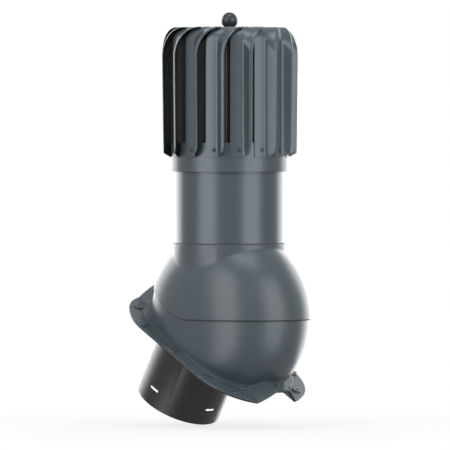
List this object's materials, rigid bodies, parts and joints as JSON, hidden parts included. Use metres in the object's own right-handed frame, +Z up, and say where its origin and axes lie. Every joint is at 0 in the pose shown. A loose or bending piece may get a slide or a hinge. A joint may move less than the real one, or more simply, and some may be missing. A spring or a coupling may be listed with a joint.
{
  "type": "roof turbine ventilator",
  "caption": "Tilting roof vent with a wavy flange, ball-jointed duct spigot, insulated stack and a spinning wind turbine head.",
  "frame": {"origin": "centre of the flange screws, on the underside of the flange valleys", "axes": "+Z up along the stack, +X horizontal down the roof slope, +Y along the eaves and the tilt axis"},
  "size_m": [0.3473, 0.2366, 0.7153],
  "materials": {
    "moulded_grey": "satin",
    "coated_sheet": "satin",
    "black_plastic": "satin",
    "grey_plastic": "satin",
    "gasket_rubber": "matt",
    "insulation_foam": "matt",
    "coated_rivet": "satin",
    "steel": "brushed"
  },
  "bodies": {
    "roof_base": {"base_shell": "moulded_grey", "flange_gasket": "gasket_rubber", "duct_spigot": "black_plastic", "ball_seal": "gasket_rubber", "plate_screws": "steel"},
    "cowl": {"cowl_cover": "moulded_grey", "inner_pipe": "black_plastic", "tilt_pins": "black_plastic", "jacket_pipe": "coated_sheet", "spacer_ring": "black_plastic", "insulation_sleeve": "insulation_foam", "closing_ring": "black_plastic", "spider": "black_plastic", "spider_screws": "steel", "bearing_housing": "black_plastic", "lower_bearing_outer_ring": "steel", "upper_bearing_outer_ring": "steel", "lower_bearing_balls": "steel", "upper_bearing_balls": "steel"},
    "turbine": {"turbine_shaft": "steel", "shaft_circlip": "steel", "rain_shield": "black_plastic", "turbine_hub": "black_plastic", "top_plate": "coated_sheet", "turbine_collar": "coated_sheet", "blade_01": "coated_sheet", "blade_02": "coated_sheet", "blade_03": "coated_sheet", "blade_04": "coated_sheet", "blade_05": "coated_sheet", "blade_06": "coated_sheet", "blade_07": "coated_sheet", "blade_08": "coated_sheet", "blade_09": "coated_sheet", "blade_10": "coated_sheet", "blade_11": "coated_sheet", "blade_12": "coated_sheet", "blade_13": "coated_sheet", "blade_14": "coated_sheet", "blade_15": "coated_sheet", "collar_rivets": "coated_rivet", "top_rivets": "coated_rivet", "nut_washer": "steel", "ball_nut": "grey_plastic", "lower_bearing_inner_ring": "steel", "upper_bearing_inner_ring": "steel"}
  },
  "joints": [
    {"name": "stack_tilt", "type": "hinge", "parent": "roof_base", "child": "cowl", "pos_m": [0.032, 0, 0.05543], "axis": [0, 1, 0], "range_deg": [-10, 18]},
    {"name": "turbine_spin", "type": "hinge", "parent": "cowl", "child": "turbine", "pos_m": [0.032, 0, 0.35543], "axis": [0, 0, 1], "continuous": true}
  ]
}
